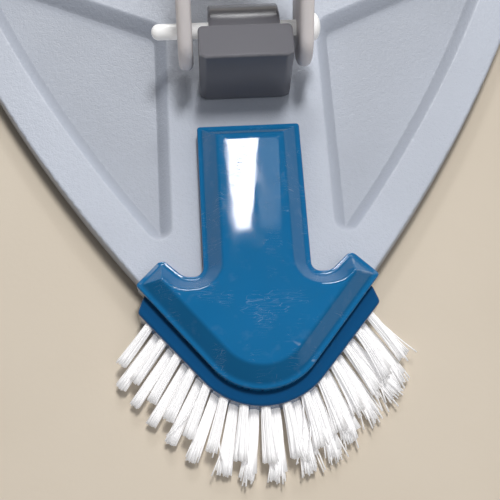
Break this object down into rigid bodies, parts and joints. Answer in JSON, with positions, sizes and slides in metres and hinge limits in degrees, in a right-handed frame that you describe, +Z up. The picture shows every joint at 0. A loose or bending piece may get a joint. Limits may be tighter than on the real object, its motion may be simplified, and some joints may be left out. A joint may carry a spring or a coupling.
{
  "type": "triangular scrubber head with corner brush",
  "caption": "Flat triangular cleaning head with recessed panels, a fan-shaped corner brush under a blue cap, and a swivelling, tilting pole fork.",
  "frame": {"origin": "on the underside of the front hook strip, straight below the fork's pin and on the swivel's vertical axis", "axes": "+X to the right with the brush toward the viewer, +Y to the rear edge away from the brush, +Z up"},
  "size_m": [0.1954, 0.2026, 0.0962],
  "materials": {
    "plate_grey": "fine matte texture, pale blue grey",
    "cover_grey": "matte",
    "cap_blue": "glossy with fine scratches",
    "block_blue": "satin",
    "bristle_white": "translucent white filament",
    "knuckle_grey": "satin dark grey",
    "fork_white": "satin warm white",
    "pin_white": "satin white",
    "hook_black": "woven hook tape",
    "screw_steel": "zinc plated"
  },
  "bodies": {
    "head": {"top_shell": "plate_grey", "bottom_plate": "cover_grey", "hook_strip_front": "hook_black", "hook_strip_left": "hook_black", "hook_strip_right": "hook_black", "brush_cap": "cap_blue", "brush_block": "block_blue", "tuft_upper_1": "bristle_white", "tuft_upper_2": "bristle_white", "tuft_upper_3": "bristle_white", "tuft_upper_4": "bristle_white", "tuft_upper_5": "bristle_white", "tuft_upper_6": "bristle_white", "tuft_upper_7": "bristle_white", "tuft_upper_8": "bristle_white", "tuft_upper_9": "bristle_white", "tuft_upper_10": "bristle_white", "tuft_upper_11": "bristle_white", "tuft_upper_12": "bristle_white", "tuft_upper_13": "bristle_white", "tuft_upper_14": "bristle_white", "tuft_upper_15": "bristle_white", "tuft_lower_1": "bristle_white", "tuft_lower_2": "bristle_white", "tuft_lower_3": "bristle_white", "tuft_lower_4": "bristle_white", "tuft_lower_5": "bristle_white", "tuft_lower_6": "bristle_white", "tuft_lower_7": "bristle_white", "tuft_lower_8": "bristle_white", "tuft_lower_9": "bristle_white", "tuft_lower_10": "bristle_white", "tuft_lower_11": "bristle_white", "tuft_lower_12": "bristle_white", "tuft_lower_13": "bristle_white", "tuft_lower_14": "bristle_white", "shell_screw_1": "screw_steel", "shell_screw_2": "screw_steel", "shell_screw_3": "screw_steel", "shell_screw_4": "screw_steel", "shell_screw_5": "screw_steel", "cap_screw_1": "screw_steel", "cap_screw_2": "screw_steel", "brush_screw_1": "screw_steel", "brush_screw_2": "screw_steel"},
    "swivel": {"knuckle": "knuckle_grey", "swivel_washer": "screw_steel", "swivel_screw": "screw_steel"},
    "fork": {"fork": "fork_white", "fork_pin": "pin_white"}
  },
  "joints": [
    {"name": "head_swivel", "type": "hinge", "parent": "head", "child": "swivel", "pos_m": [0, 0, 0.0083], "axis": [0, 0, 1], "continuous": true},
    {"name": "fork_tilt", "type": "hinge", "parent": "swivel", "child": "fork", "pos_m": [0, 0, 0.0245], "axis": [1, 0, 0], "range_deg": [-34, 110]}
  ]
}
